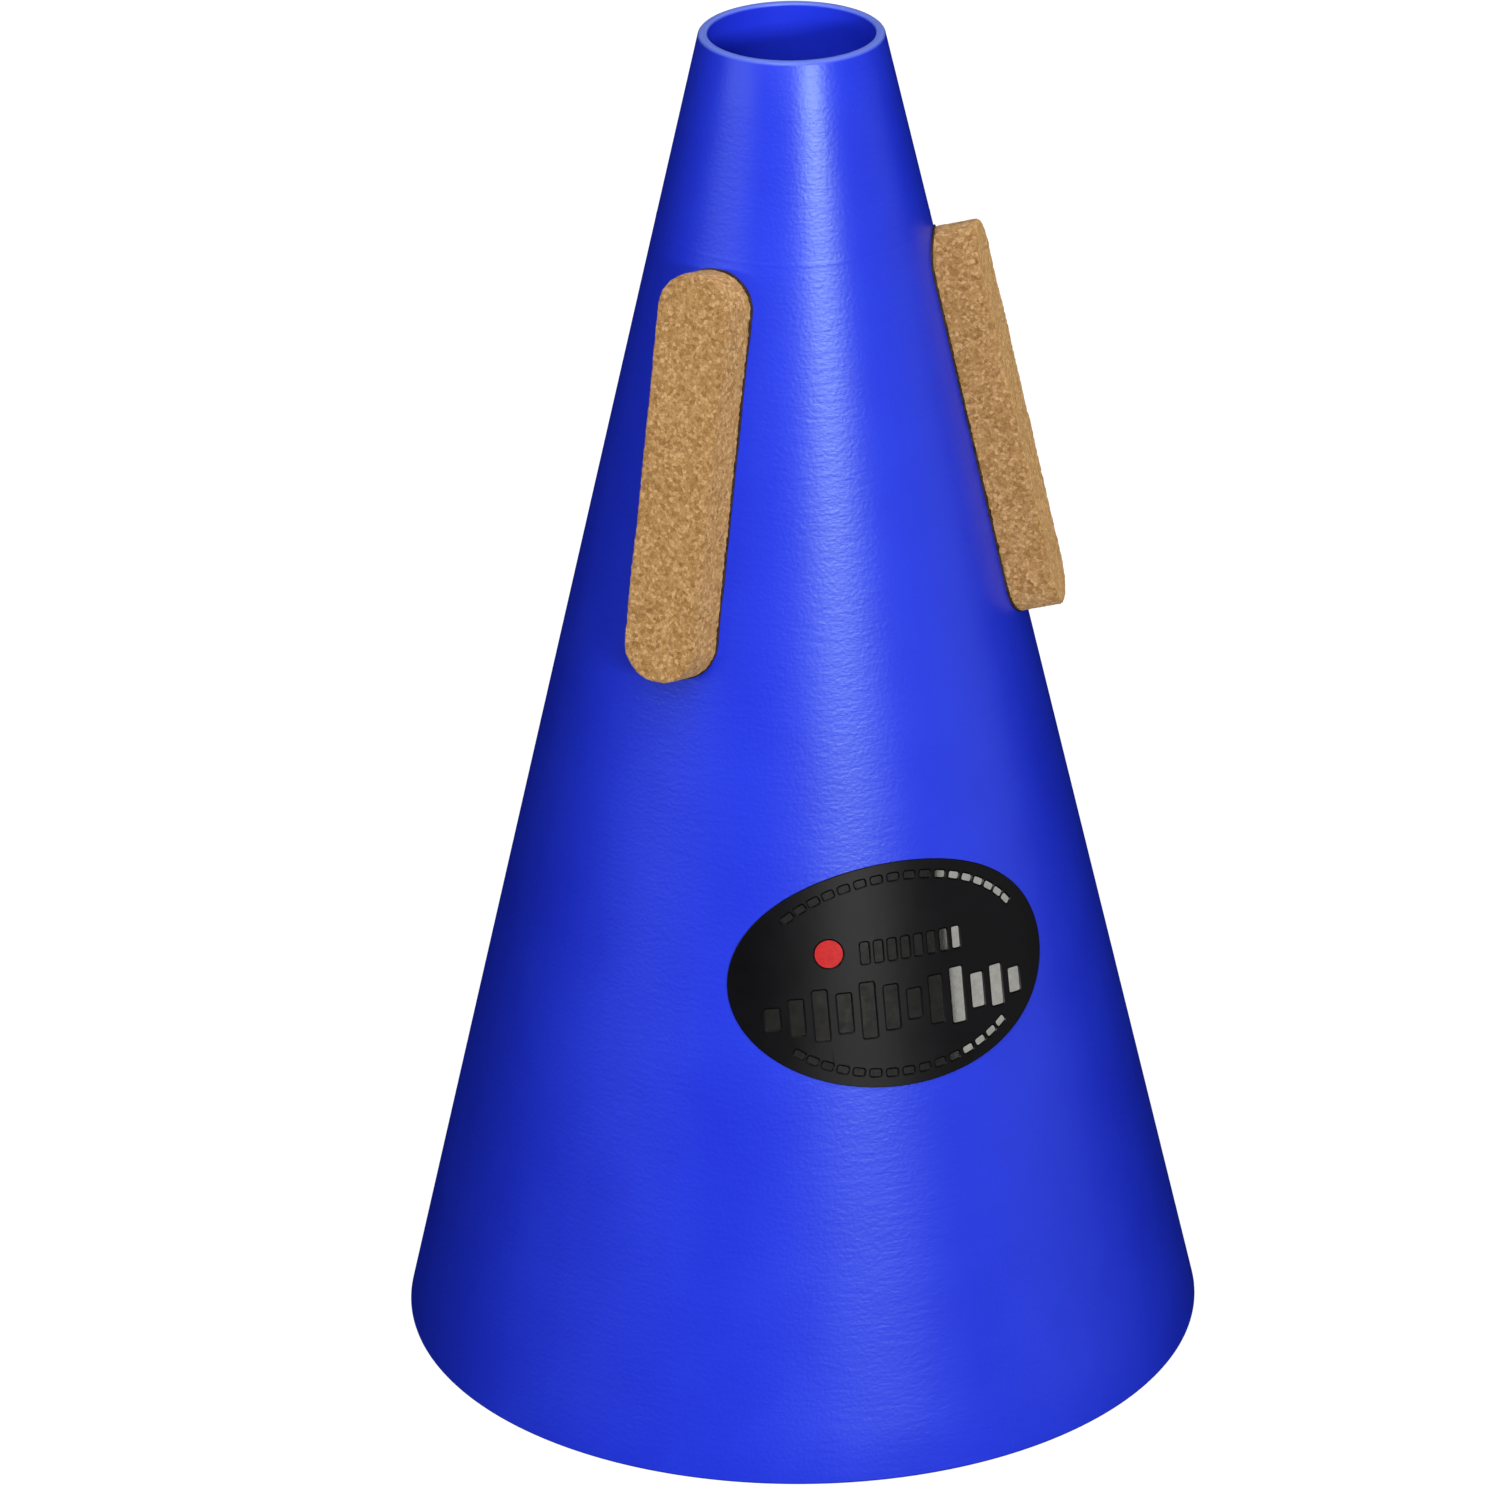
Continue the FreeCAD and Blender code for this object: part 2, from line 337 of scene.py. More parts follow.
start_clear()
bpy.ops.mesh.primitive_torus_add(major_segments=288, minor_segments=14,
                                 major_radius=rebate_radius, minor_radius=cement_leg,
                                 location=(0, 0, cement_corner))
cement = bpy.context.object
cement.name = "cement_bead"
bpy.ops.object.transform_apply(location=True)
bpy.ops.object.mode_set(mode="EDIT")
bpy.ops.mesh.select_all(action="SELECT")
bpy.ops.mesh.bisect(plane_co=(0, 0, cement_corner), plane_no=(0, 0, 1), clear_outer=True)
start_clear()
for vertex in cement.data.vertices:
    co = vertex.co
    turn = math.atan2(co.y, co.x)
    waver = cement_waver * math.sin(7 * turn + 0.4) * math.sin(3 * turn)
    swell = cement_fullness + waver + cement_ripple * math.sin(31 * turn)
    level = cement_corner + (co.z - cement_corner) * swell
    radius = rebate_radius + (co.xy.length - rebate_radius) * swell
    radius = min(radius, rebate_radius)
    vertex.co = (radius * math.cos(turn), radius * math.sin(turn), level)
take_up(cement)
bpy.ops.object.mode_set(mode="EDIT")
bpy.ops.mesh.select_all(action="SELECT")
bpy.ops.mesh.remove_doubles(threshold=0.01 * MM)
bpy.ops.mesh.select_all(action="DESELECT")
bpy.ops.mesh.select_mode(type="EDGE")
bpy.ops.mesh.select_non_manifold(extend=False)
bpy.ops.mesh.bridge_edge_loops()
turn_faces_out()
take_up(cement)
bpy.ops.object.shade_smooth_by_angle(angle=math.radians(50))

# Set solvent cement is ABS that melted and shrank back: darker than the moulding, and wet-looking,
# with soft lumps where the brush stopped.
cement_lump = 1.8 * MM
set_cement, shader = new_material("set_solvent_cement")
place = add(set_cement, "ShaderNodeTexCoord").outputs["Object"]
lumps = add(set_cement, "ShaderNodeTexNoise", None, Vector=place, Scale=1 / cement_lump, Detail=3.0)
tint = ramp(set_cement, lumps.outputs["Fac"], ((0.3, linear("#1A2CB0")), (0.7, linear("#2A40D2"))))
bump = add(set_cement, "ShaderNodeBump", None, Strength=0.4, Distance=0.08 * MM,
           Height=lumps.outputs["Fac"])
feed(set_cement, shader, Base_Color=tint.outputs["Color"], Normal=bump.outputs["Normal"], Roughness=0.14,
     IOR=1.52)
cement.data.materials.append(set_cement)
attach(cement, "root")
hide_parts("end_plate_cement")


# ---------------------------------------------------------------------------------------------
# The cork strips: three pieces cut from a sheet of fine agglomerated cork, ends rounded, hollowed
# underneath to sit on the cone, and rubbed down by hand. Granules of about 0.5 mm stand out a little.
# ---------------------------------------------------------------------------------------------
cork_places = (("left", -31.4, -0.4), ("right", 83.0, 2.1), ("rear", 206.0, 0.6))
cork_length = 49.6 * MM
cork_width = 9.6 * MM
cork_thickness = 5.4 * MM
cork_end_radius = 4.5 * MM
cork_edge_round = 0.4 * MM
cork_up_slope = 123.8 * MM
cork_below = 1.6 * MM
cork_lift = 0.2 * MM               # the strip stands off the cone by this, with its glue in the gap
cork_mesh_step = 0.2 * MM
granule = 0.48 * MM
granule_relief = 0.16 * MM
crumb = 0.35 * MM
crumb_relief = 0.07 * MM
rub_span = 7 * MM                  # how far apart the hollows of rubbing down lie
rub_relief = 0.2 * MM


def seat_on_cone(azimuth, up_slope, lean=0.0):
    """Place on the slope: X round the cone, Y up the slope, Z square out of it."""
    turn = math.radians(azimuth)
    s, c = math.sin(slope_angle), math.cos(slope_angle)
    radius = base_radius - up_slope * s
    x = Vector((math.cos(turn), math.sin(turn), 0))
    y = Vector((-s * math.sin(turn), s * math.cos(turn), c))
    z = x.cross(y)
    spot = Vector((radius * math.sin(turn), -radius * math.cos(turn), up_slope * c))
    seat = Matrix((x, y, z)).transposed().to_4x4()
    seat.translation = spot
    return seat @ Matrix.Rotation(math.radians(-lean), 4, "Z")


def slope_normal(point):
    """Square out of the cone's slope, at the side of the cone where a point is."""
    level_out = point.xy.normalized() * math.cos(slope_angle)
    return Vector((level_out.x, level_out.y, math.sin(slope_angle)))


def out_of_cone(point):
    """How far a point stands out from the cone's slope."""
    return (point.xy.length - outer_radius(point.z)) * math.cos(slope_angle)


def solid_cone(lift):
    """A plain solid cone that stands off the real slope by a lift, to hollow what sits on it."""
    grown = lift / math.cos(slope_angle)
    start_clear()
    bpy.ops.mesh.primitive_cone_add(vertices=cone_steps, radius1=base_radius + grown,
                                    radius2=mouth_radius + grown, depth=cone_height,
                                    location=(0, 0, cone_height / 2))
    cutter = bpy.context.object
    bpy.ops.object.transform_apply(location=True)
    return cutter


# A blank: a block with its four uprights and its upper edge rounded.
start_clear()
bpy.ops.mesh.primitive_cube_add(size=1, location=(0, 0, (cork_thickness - cork_below) / 2),
                                scale=(cork_width, cork_length, cork_thickness + cork_below))
blank = bpy.context.object
blank.name = "cork_blank"
bpy.ops.object.transform_apply(location=True, scale=True)
bpy.ops.object.mode_set(mode="EDIT")
pick(blank, "EDGE", lambda a, b: abs(a.z - b.z) > MM)
bpy.ops.mesh.bevel(offset=cork_end_radius, offset_type="OFFSET", segments=14)
pick(blank, "EDGE", lambda a, b: min(a.z, b.z) > cork_thickness - 0.01 * MM)
bpy.ops.mesh.bevel(offset=cork_edge_round, offset_type="OFFSET", segments=5)
start_clear()

granules = bpy.data.textures.new("cork_granules", "VORONOI")
granules.noise_scale = granule
granules.distance_metric = "DISTANCE"
granules.weight_1 = 1.0
crumbs = bpy.data.textures.new("cork_crumbs", "CLOUDS")
crumbs.noise_scale = crumb
crumbs.noise_depth = 2
rubbed = bpy.data.textures.new("cork_rubbed_down", "CLOUDS")
rubbed.noise_scale = rub_span

# Agglomerated cork: granules of several browns pressed in a dark binder, dead matt and a little downy
# at the edges. The granules differ in tone as much as they do in height.
granule_bend = 0.5 * MM
bend_span = 1.1 * MM
speck = 0.4 * MM
cork_finish, shader = new_material("agglomerated_cork")
place = add(cork_finish, "ShaderNodeTexCoord").outputs["Object"]
wobble = add(cork_finish, "ShaderNodeTexNoise", None, Vector=place, Scale=1 / bend_span, Detail=2.0)
shift = add(cork_finish, "ShaderNodeVectorMath", {"operation": "MULTIPLY_ADD"},
            i0=wobble.outputs["Color"], i1=(granule_bend,) * 3, i2=place)
cells = add(cork_finish, "ShaderNodeTexVoronoi", {"feature": "F1"}, Vector=shift.outputs["Vector"],
            Scale=1 / granule, Randomness=1.0)
seams = add(cork_finish, "ShaderNodeTexVoronoi", {"feature": "DISTANCE_TO_EDGE"},
            Vector=shift.outputs["Vector"], Scale=1 / granule, Randomness=1.0)
tone = add(cork_finish, "ShaderNodeSeparateColor", None, Color=cells.outputs["Color"])
browns = ramp(cork_finish, tone.outputs["Red"], (
    (0.0, linear("#A07845")),
    (0.25, linear("#B38A54")),
    (0.6, linear("#BF9762")),
    (1.0, linear("#D2AC79")),
))
specks = add(cork_finish, "ShaderNodeTexNoise", None, Vector=place, Scale=1 / speck,
             Detail=3.0, Roughness=0.6)
speckle = ramp(cork_finish, specks.outputs["Fac"], ((0.33, linear("#8A6436")), (0.52, linear("#FFFFFF"))))
speckled = add(cork_finish, "ShaderNodeMix", {"data_type": "RGBA", "blend_type": "MULTIPLY"},
               i0=0.45, i6=browns.outputs["Color"], i7=speckle.outputs["Color"])
seam_mask = add(cork_finish, "ShaderNodeMapRange", None, Value=seams.outputs["Distance"],
                From_Min=0.0, From_Max=0.09, To_Min=0.5, To_Max=0.0)
coloured = add(cork_finish, "ShaderNodeMix", {"data_type": "RGBA"}, i0=seam_mask.outputs["Result"],
               i6=speckled.outputs[2], i7=linear("#7E5A30"))
bump = add(cork_finish, "ShaderNodeBump", None, Strength=0.6, Distance=0.06 * MM,
           Height=specks.outputs["Fac"])
feed(cork_finish, shader, Base_Color=coloured.outputs[2], Normal=bump.outputs["Normal"], Roughness=0.85,
     Diffuse_Roughness=1.0, Sheen_Weight=0.35, Sheen_Roughness=0.6, Sheen_Tint=linear("#D8B080"), IOR=1.4,
     Specular_IOR_Level=0.3)

for side, azimuth, lean in cork_places:
    start_clear()
    cork = blank.copy()
    cork.data = blank.data.copy()
    cork.name = "cork_" + side
    bpy.context.collection.objects.link(cork)
    cork.data.transform(seat_on_cone(azimuth, cork_up_slope, lean))
    cutter = solid_cone(cork_lift)
    hollow = cork.modifiers.new("hollow", "BOOLEAN")
    hollow.operation = "DIFFERENCE"
    hollow.solver = "EXACT"
    hollow.object = cutter
    grain_mesh = cork.modifiers.new("grain_mesh", "REMESH")
    grain_mesh.mode = "VOXEL"
    grain_mesh.voxel_size = cork_mesh_step
    for texture, strength, middle in (
        (rubbed, rub_relief, 0.5),
        (granules, granule_relief, 0.75),
        (crumbs, crumb_relief, 0.5),
    ):
        layer = cork.modifiers.new(texture.name, "DISPLACE")
        layer.texture = texture
        layer.texture_coords = "LOCAL"
        layer.strength = strength
        layer.mid_level = middle
    take_up(cork)
    apply_modifiers(cork)
    bpy.data.objects.remove(cutter)
    # The relief is only on what shows: underneath, the strip lies flat on its glue.
    for vertex in cork.data.vertices:
        proud = out_of_cone(vertex.co)
        if proud < cork_lift + cork_mesh_step / 2:
            vertex.co += (cork_lift - proud) * slope_normal(vertex.co)
    bpy.ops.object.shade_smooth()
    cork.data.materials.clear()
    cork.data.materials.append(cork_finish)
    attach(cork, "root")
    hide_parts("cork_strip_" + side)
bpy.data.objects.remove(blank)


# ---------------------------------------------------------------------------------------------
# The glue: contact cement brushed on strip and cone, squeezed a little out round each foot when the
# strip was pressed down. Its thin dark line there is also painted shade where strip meets cone.
# ---------------------------------------------------------------------------------------------
# The rim of glue that shows round each strip is also painted shade at its foot.
glue_and_shade_rim = 0.14 * MM
glue_thickness = 0.24 * MM
glue_across = 1.0 * MM             # the flat outline is cut across this often, so that it can bend
glue_along = 2.2 * MM
glue_waver = 0.09 * MM             # how far the squeezed-out edge wanders
glue_waver_span = 2.5 * MM


def roll_on_cone(piece, azimuth, up_slope):
    """Rolls a flat piece on to the cone: its X goes round, Y up the slope and Z out of it, unstretched."""
    apex_to_middle = base_radius / math.sin(slope_angle) - up_slope
    s, c = math.sin(slope_angle), math.cos(slope_angle)
    for vertex in piece.data.vertices:
        u, v, lift = vertex.co
        from_apex = math.hypot(u, apex_to_middle - v)
        turn = math.radians(azimuth) + math.atan2(u, apex_to_middle - v) / s
        radius = from_apex * s + lift * c
        level = base_radius / math.tan(slope_angle) - from_apex * c + lift * s
        vertex.co = (radius * math.sin(turn), -radius * math.cos(turn), level)
    piece.data.update()


def cut_across(piece, half_span, step, axis):
    """Cuts a flat piece along straight lines a step apart, which leaves it in strips that can bend."""
    normal = (1, 0, 0) if axis == 0 else (0, 1, 0)
    count = int(half_span / step)
    bpy.ops.object.mode_set(mode="EDIT")
    for index in range(-count, count + 1):
        spot = tuple(index * step * n for n in normal)
        bpy.ops.mesh.select_all(action="SELECT")
        bpy.ops.mesh.bisect(plane_co=spot, plane_no=normal)
    bpy.ops.object.mode_set(mode="OBJECT")


# Contact cement dries to a brown rubber: half shiny, and lumpy where it was squeezed out. Its dark brown
# is also painted shade at the foot of each strip.
glue_lump = 0.8 * MM
glue_and_foot_shade, shader = new_material("contact_cement_and_painted_foot_shade")
place = add(glue_and_foot_shade, "ShaderNodeTexCoord").outputs["Object"]
lumps = add(glue_and_foot_shade, "ShaderNodeTexNoise", None, Vector=place, Scale=1 / glue_lump, Detail=3.0)
# Painted shade: these dark browns also stand in for the shade where each strip meets the cone.
tint = ramp(glue_and_foot_shade, lumps.outputs["Fac"], ((0.3, linear("#2A1F18")), (0.7, linear("#4A382A"))))
bump = add(glue_and_foot_shade, "ShaderNodeBump", None, Strength=0.5, Distance=0.05 * MM,
           Height=lumps.outputs["Fac"])
feed(glue_and_foot_shade, shader, Base_Color=tint.outputs["Color"], Normal=bump.outputs["Normal"], Roughness=0.45,
     IOR=1.5)

for side, azimuth, lean in cork_places:
    start_clear()
    bpy.ops.mesh.primitive_cube_add(size=1, location=(0, 0, glue_thickness / 2),
                                    scale=(cork_width + 2 * glue_and_shade_rim, cork_length + 2 * glue_and_shade_rim,
                                           glue_thickness))
    glue = bpy.context.object
    glue.name = "glue_" + side
    bpy.ops.object.transform_apply(location=True, scale=True)
    bpy.ops.object.mode_set(mode="EDIT")
    pick(glue, "EDGE", lambda a, b: abs(a.z - b.z) > glue_thickness / 2)
    bpy.ops.mesh.bevel(offset=cork_end_radius + glue_and_shade_rim, offset_type="OFFSET", segments=20)
    cut_across(glue, cork_width / 2, glue_across, 0)
    cut_across(glue, cork_length / 2, glue_along, 1)
    for vertex in glue.data.vertices:
        flow = noise.noise(Vector((vertex.co.x, vertex.co.y, azimuth * MM)) / glue_waver_span)
        across = vertex.co.x / (cork_width / 2)
        along = vertex.co.y / (cork_length / 2)
        vertex.co.x += glue_waver * flow * across
        vertex.co.y += glue_waver * flow * along ** 3
    glue.data.transform(Matrix.Rotation(math.radians(-lean), 4, "Z"))
    roll_on_cone(glue, azimuth, cork_up_slope)
    bpy.ops.object.mode_set(mode="EDIT")
    turn_faces_out()
    bpy.ops.object.mode_set(mode="OBJECT")
    bpy.ops.object.shade_smooth_by_angle(angle=math.radians(40))
    glue.data.materials.append(glue_and_foot_shade)
    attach(glue, "root")
    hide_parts("cork_adhesive_" + side)


# ---------------------------------------------------------------------------------------------
# The label: an oval of black vinyl, die-cut flat and rolled on to the cone. Its marks are stamped,
# so the film dips about a tenth of a millimetre under each.
# ---------------------------------------------------------------------------------------------
label_azimuth = 19.7
label_up_slope = 63.05 * MM
label_half_width = 21.2 * MM
label_half_height = 13.85 * MM
film_thickness = 0.25 * MM
film_edge_round = 0.08 * MM
stamp_depth = 0.12 * MM
stamp_shoulder = 0.2 * MM
stamp_above = 0.2 * MM
mark_corner = 0.2 * MM
label_strip = 1.0 * MM
# Heights of the upright bars in mm: a plain, uneven row.
bar_heights = (2.6, 4.4, 6.2, 4.8, 6.8, 5.4, 3.6, 5.8, 6.8, 4.2, 5.0, 3.0)
bar_pitch = 2.9 * MM
bar_width = 1.7 * MM
bar_middle = -3.9 * MM
short_bar_count = 8
short_bar_pitch = 1.7 * MM
short_bar_width = 1.0 * MM
short_bar_height = 2.6 * MM
short_bar_middle = 3.2 * MM
dash_oval_scale = 0.87
dash_length = 1.3 * MM
dash_height = 0.8 * MM
dashes_above = 19
dashes_below = 15
dash_step = 6.5                    # degrees round the oval
dot_radius = 1.7 * MM
dot_place = (-8.6 * MM, 3.6 * MM)


# Every silver mark as (middle across, middle up, width, height, turn) on the flat label.
marks = []
for index, height in enumerate(bar_heights):
    along = (index - (len(bar_heights) - 1) / 2) * bar_pitch
    marks.append((along, bar_middle, bar_width, height * MM, 0.0))
for index in range(short_bar_count):
    along = (index - (short_bar_count - 1) / 2) * short_bar_pitch + dot_radius
    marks.append((along, short_bar_middle, short_bar_width, short_bar_height, 0.0))
for count, middle_angle in ((dashes_above, 90), (dashes_below, 270)):
    across, up = label_half_width * dash_oval_scale, label_half_height * dash_oval_scale
    for index in range(count):
        t = math.radians(middle_angle + (index - (count - 1) / 2) * dash_step)
        turn = math.atan2(up * math.cos(t), -across * math.sin(t))
        marks.append((across * math.cos(t), up * math.sin(t), dash_length, dash_height, turn))

# The stamp: a block over each mark that tapers down to the mark's own outline.
start_clear()
grow = 2 * stamp_shoulder
for index, (middle_u, middle_v, width, height, turn) in enumerate(marks):
    bpy.ops.mesh.primitive_cube_add(size=1, rotation=(0, 0, turn),
                                    location=(middle_u, middle_v, film_thickness + stamp_above / 2),
                                    scale=(width + grow, height + grow, stamp_above))
    if index == 0:
        stamp = bpy.context.object
        stamp.name = "stamp"
        bpy.ops.object.transform_apply(location=True, rotation=True, scale=True)
        bpy.ops.object.mode_set(mode="EDIT")
pick(stamp, "EDGE", lambda a, b: abs(a.z - b.z) > stamp_above / 2)
bpy.ops.mesh.bevel(offset=mark_corner + stamp_shoulder, offset_type="OFFSET", segments=4)
bpy.ops.mesh.primitive_cylinder_add(vertices=48, radius=dot_radius + stamp_shoulder, depth=stamp_above,
                                    location=(dot_place[0], dot_place[1], film_thickness + stamp_above / 2))
pick(stamp, "FACE", lambda middle, normal: normal.z < -0.9)
bpy.ops.mesh.inset(thickness=stamp_shoulder, depth=stamp_depth, use_individual=True)

# The film: a die-cut oval slab, its upper edge eased, with the stamp pressed into it.
start_clear()
bpy.ops.mesh.primitive_cylinder_add(vertices=160, radius=1, depth=film_thickness,
                                    location=(0, 0, film_thickness / 2),
                                    scale=(label_half_width, label_half_height, 1))
film = bpy.context.object
film.name = "label_vinyl"
bpy.ops.object.transform_apply(location=True, scale=True)
bpy.ops.object.mode_set(mode="EDIT")
pick(film, "EDGE", lambda a, b: min(a.z, b.z) > film_thickness - 0.01 * MM)
bpy.ops.mesh.bevel(offset=film_edge_round, segments=2)
start_clear()
pressed = film.modifiers.new("pressed", "BOOLEAN")
pressed.operation = "DIFFERENCE"
pressed.solver = "EXACT"
pressed.use_self = True
pressed.object = stamp
take_up(film)
apply_modifiers(film)
bpy.ops.object.mode_set(mode="EDIT")
bpy.ops.mesh.select_all(action="SELECT")
bpy.ops.mesh.quads_convert_to_tris()
cut_across(film, label_half_width, label_strip, 0)
roll_on_cone(film, label_azimuth, label_up_slope)
bpy.ops.object.shade_smooth_by_angle(angle=math.radians(18))

# Calendered vinyl: near-black, a soft sheen, with the faint grain of the roller that pressed it and
# patches rubbed duller by handling.
vinyl_grain = 0.35 * MM
vinyl_patch = 5 * MM
vinyl, shader = new_material("black_calendered_vinyl")
place = add(vinyl, "ShaderNodeTexCoord").outputs["Object"]
grain = add(vinyl, "ShaderNodeTexNoise", None, Vector=place, Scale=1 / vinyl_grain,
            Detail=3.0, Roughness=0.6)
bump = add(vinyl, "ShaderNodeBump", None, Strength=0.25, Distance=0.02 * MM,
           Height=grain.outputs["Fac"])
scuffs = add(vinyl, "ShaderNodeTexNoise", None, Vector=place, Scale=1 / vinyl_patch,
             Detail=5.0, Roughness=0.65)
sheen = add(vinyl, "ShaderNodeMapRange", None, Value=scuffs.outputs["Fac"], To_Min=0.34, To_Max=0.44)
tint = ramp(vinyl, scuffs.outputs["Fac"], ((0.3, linear("#060608")), (0.8, linear("#0C0B0F"))))
feed(vinyl, shader, Base_Color=tint.outputs["Color"], Roughness=sheen.outputs["Result"],
     Normal=bump.outputs["Normal"], IOR=1.44, Specular_IOR_Level=0.34)
film.data.materials.append(vinyl)
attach(film, "root")
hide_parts("label_film")


# ---------------------------------------------------------------------------------------------
# The foil: silver hot-stamping foil pressed into the film as upright bars, short bars and a row
# of dashes along the oval's upper and lower edges.
# ---------------------------------------------------------------------------------------------
foil_thickness = 0.03 * MM
stamp_floor = film_thickness - stamp_depth


def lift_off_stamp(name, wanted):
    """Copies flat ends of the stamp as a new piece, thickens it, cuts it in strips and rolls it on."""
    take_up(stamp)
    bpy.ops.object.mode_set(mode="EDIT")
    pick(stamp, "FACE", lambda middle, normal: abs(middle.z - stamp_floor) < 0.01 * MM and wanted(middle))
    bpy.ops.mesh.duplicate()
    bpy.ops.mesh.separate(type="SELECTED")
    bpy.ops.object.mode_set(mode="OBJECT")
    piece = [o for o in bpy.context.selected_objects if o != stamp][0]
    piece.name = name
    take_up(piece)
    bpy.ops.object.mode_set(mode="EDIT")
    bpy.ops.mesh.select_all(action="SELECT")
    bpy.ops.mesh.extrude_region_move(TRANSFORM_OT_translate={"value": (0, 0, foil_thickness)})
    turn_faces_out()
    cut_across(piece, label_half_width, label_strip, 0)
    roll_on_cone(piece, label_azimuth, label_up_slope)
    bpy.ops.object.shade_smooth_by_angle(angle=math.radians(18))
    return piece


def in_dot(middle):
    return math.hypot(middle.x - dot_place[0], middle.y - dot_place[1]) < dot_radius


foil = lift_off_stamp("label_foil", lambda middle: not in_dot(middle))

# Hot-stamping foil is a bright aluminium skin under a thin lacquer, which keeps it from going quite
# black where it mirrors nothing. It is a few microns thick, drawn thicker here, and takes the film's grain.
foil_grain = 0.3 * MM
foil_rub = 1.2 * MM
silver_foil, shader = new_material("hot_stamped_silver_foil")
place = add(silver_foil, "ShaderNodeTexCoord").outputs["Object"]
grain = add(silver_foil, "ShaderNodeTexNoise", None, Vector=place, Scale=1 / foil_grain,
            Detail=3.0, Roughness=0.6)
bump = add(silver_foil, "ShaderNodeBump", None, Strength=0.1, Distance=0.02 * MM,
           Height=grain.outputs["Fac"])
rubs = add(silver_foil, "ShaderNodeTexNoise", None, Vector=place, Scale=1 / foil_rub,
           Detail=5.0, Roughness=0.7)
haze = add(silver_foil, "ShaderNodeMapRange", None, Value=rubs.outputs["Fac"], To_Min=0.08, To_Max=0.14)
tint = ramp(silver_foil, rubs.outputs["Fac"], ((0.3, linear("#ABAAA4")), (0.7, linear("#C6C5BF"))))
feed(silver_foil, shader, Base_Color=tint.outputs["Color"], Roughness=haze.outputs["Result"],
     Normal=bump.outputs["Normal"], Metallic=0.96)
foil.data.materials.append(silver_foil)
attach(foil, "root")
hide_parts("label_foil_print")


# ---------------------------------------------------------------------------------------------
# The red dot: a spot of opaque screen ink on the label, printed first and then pressed down with the
# silver marks, so that it lies in a hollow of its own.
# ---------------------------------------------------------------------------------------------
dot = lift_off_stamp("label_red_dot", in_dot)
bpy.data.objects.remove(stamp)

# Screen ink: opaque, satin, a little uneven where it was pulled through the mesh.
ink_pull = 0.5 * MM
red_ink, shader = new_material("red_screen_ink")
place = add(red_ink, "ShaderNodeTexCoord").outputs["Object"]
pull = add(red_ink, "ShaderNodeTexNoise", None, Vector=place, Scale=1 / ink_pull, Detail=3.0)
tint = ramp(red_ink, pull.outputs["Fac"], ((0.3, linear("#BC1012")), (0.7, linear("#D21A1C"))))
bump = add(red_ink, "ShaderNodeBump", None, Strength=0.3, Distance=0.02 * MM,
           Height=pull.outputs["Fac"])
feed(red_ink, shader, Base_Color=tint.outputs["Color"], Normal=bump.outputs["Normal"], Roughness=0.4,
     IOR=1.5, Specular_IOR_Level=0.3)
dot.data.materials.append(red_ink)
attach(dot, "root")
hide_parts("label_red_mark")


# ---------------------------------------------------------------------------------------------
# The studio: a white table that runs back out of sight, lit evenly from within so that it stays plain,
# and soft boxes at the front, overhead and behind. The large fills leave no reflection of their own.
# ---------------------------------------------------------------------------------------------
table_size = 8
table_gap = 0.02 * MM              # keeps the table clear of the rim that stands on it

start_clear()
bpy.ops.mesh.primitive_plane_add(size=table_size, location=(0, 0, -table_gap))
floor = bpy.context.object
floor.name = "table"
white_table, shader = new_material("white_table")
feed(white_table, shader, Base_Color=linear("#787878"), Roughness=0.9, Specular_IOR_Level=0.0,
     Emission_Color=(1, 1, 1, 1), Emission_Strength=0.95)
floor.data.materials.append(white_table)
floor.visible_glossy = False
floor.visible_diffuse = False


def soft_box(name, azimuth, elevation, distance, width, height, power, glossy=True):
    """A rectangular area light that faces the middle of the mute, placed by the angles it is seen at."""
    start_clear()
    turn, rise = math.radians(azimuth), math.radians(elevation)
    middle = Vector((0, 0, cone_height / 2))
    away = Vector((math.sin(turn) * math.cos(rise), -math.cos(turn) * math.cos(rise), math.sin(rise)))
    bpy.ops.object.light_add(type="AREA", location=middle + away * distance)
    lamp = bpy.context.object
    lamp.name = name
    lamp.rotation_euler = away.to_track_quat("Z", "Y").to_euler()
    lamp.data.shape = "RECTANGLE"
    lamp.data.size = width
    lamp.data.size_y = height
    lamp.data.energy = power
    lamp.visible_glossy = glossy
    return lamp


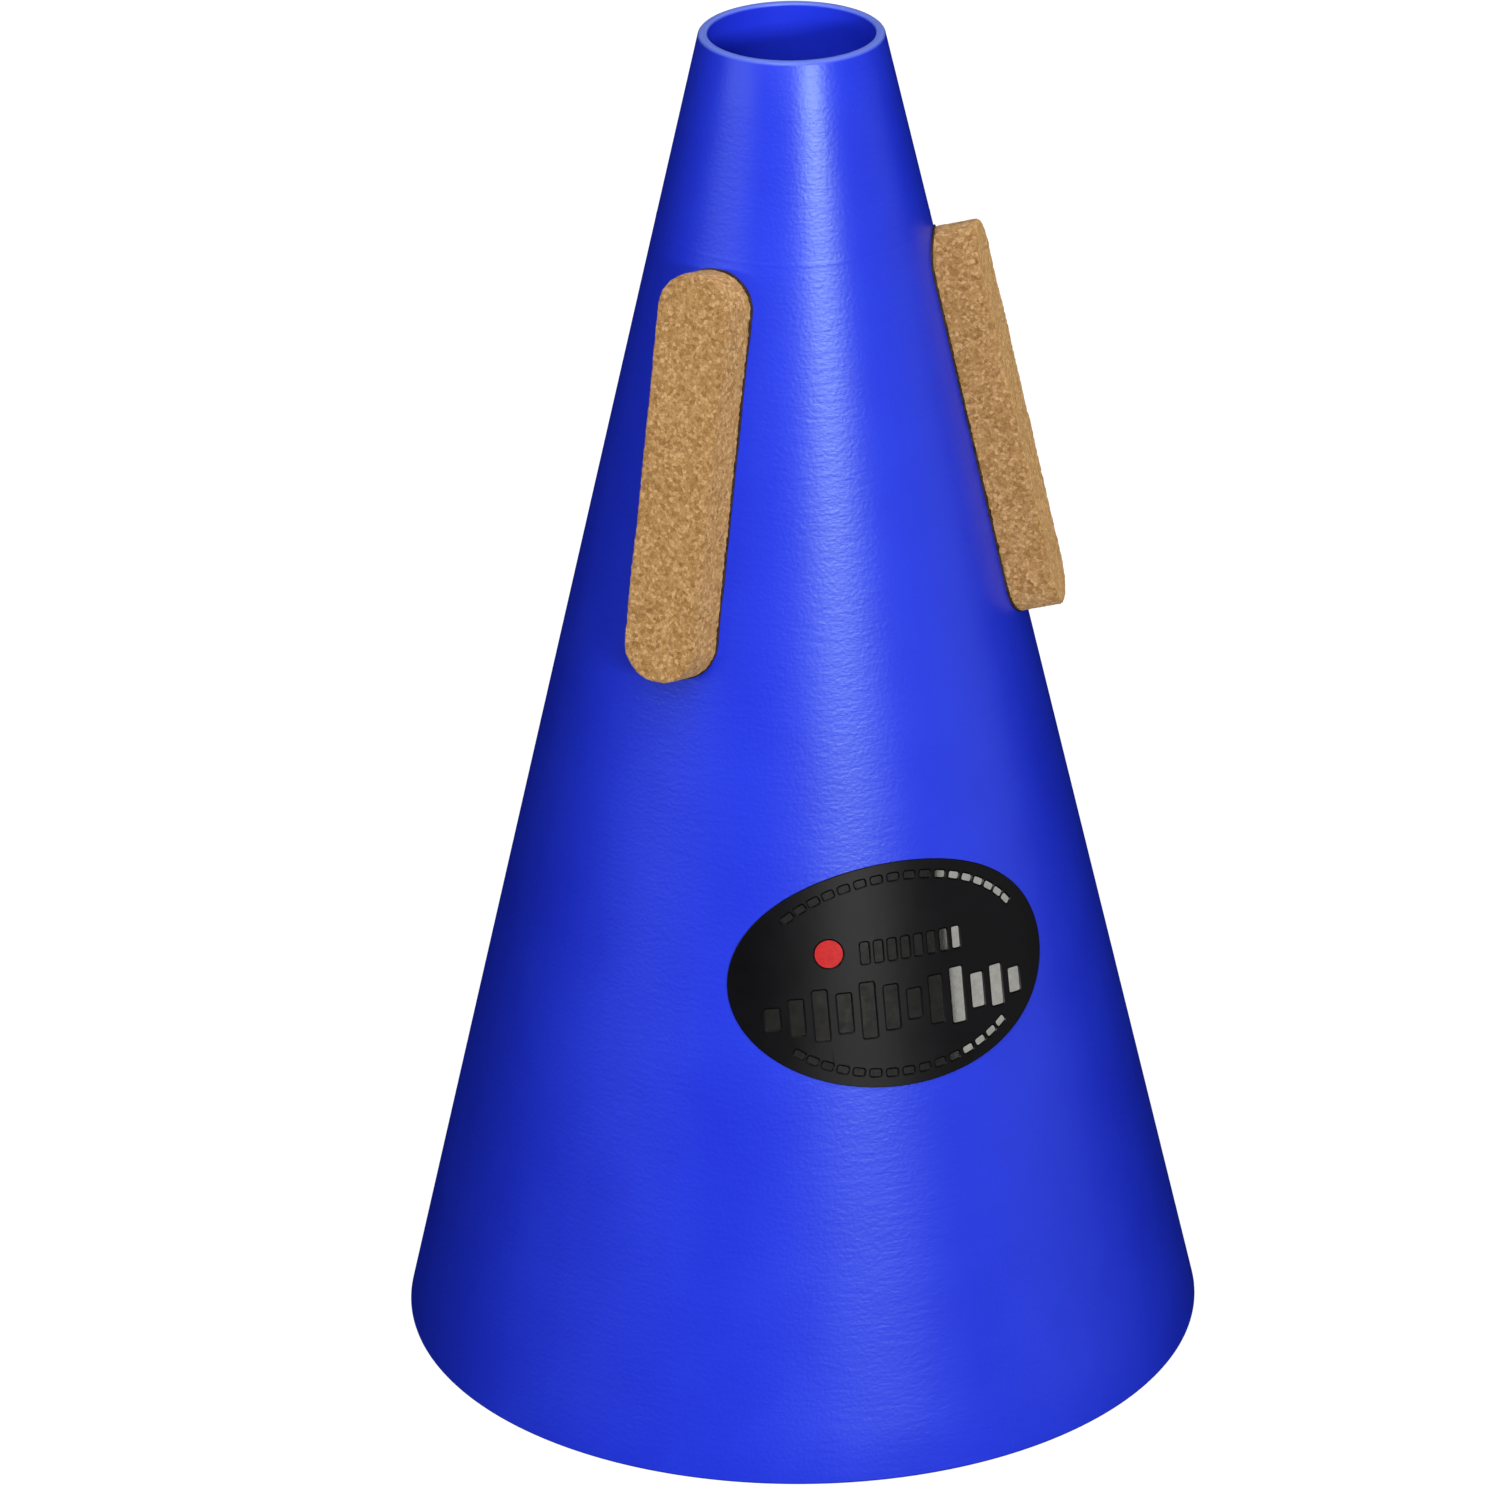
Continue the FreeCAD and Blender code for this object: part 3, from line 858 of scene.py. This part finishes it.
soft_box("key", 22, 14.5, 1.2, 0.36, 0.14, 8.0)
soft_box("left_strip", -60, 10.5, 1.2, 0.8, 0.10, 1.7)
soft_box("right_strip", 80, -4, 1.2, 1.0, 0.27, 0.58)
soft_box("upper_fill", -8, 36, 1.2, 0.9, 0.6, 6.1, glossy=False)
soft_box("high_fill", -30, 64, 1.2, 0.9, 0.9, 2.0, glossy=False)
soft_box("overhead", -6, 62, 0.3, 0.10, 0.10, 0.10)
soft_box("back_left", -155, 14, 1.2, 0.8, 0.4, 0.25)
soft_box("back_right", 155, 14, 1.2, 0.8, 0.4, 0.25)
soft_box("back_fill", 180, 28, 1.2, 1.2, 0.8, 6.5, glossy=False)

world = bpy.data.worlds.new("studio")
bpy.context.scene.world = world
world.use_nodes = True
world.node_tree.nodes["Background"].inputs["Color"].default_value = (1, 1, 1, 1)
world.node_tree.nodes["Background"].inputs["Strength"].default_value = 1.0
world.cycles_visibility.glossy = False
world.cycles_visibility.diffuse = False
bpy.context.scene.view_settings.view_transform = "Standard"


# ---------------------------------------------------------------------------------------------
# The camera: a long lens nearly six mute heights away, above the mute and looking down on it at about
# 25 degrees, turned and tilted by less than a degree.
# ---------------------------------------------------------------------------------------------
camera_back = 17.9026 * base_radius
camera_up = 9.759 * base_radius
look_down = math.radians(24.728)
look_right = math.radians(-0.379)
roll = math.radians(-0.661)
sensor = 36.0
field_of_view = math.radians(10.749)

forward = Vector((math.sin(look_right) * math.cos(look_down),
                  math.cos(look_right) * math.cos(look_down), -math.sin(look_down)))
level_right = Vector((math.cos(look_right), -math.sin(look_right), 0))
level_up = level_right.cross(forward)
right = math.cos(roll) * level_right + math.sin(roll) * level_up
up = -math.sin(roll) * level_right + math.cos(roll) * level_up
start_clear()
bpy.ops.object.camera_add(location=(0, -camera_back, camera_up))
camera = bpy.context.object
camera.rotation_euler = Matrix((right, up, -forward)).transposed().to_euler()
camera.data.sensor_width = sensor
camera.data.lens = sensor / 2 / math.tan(field_of_view / 2)
camera.data.clip_start = 0.05
bpy.context.scene.camera = camera

start_clear()
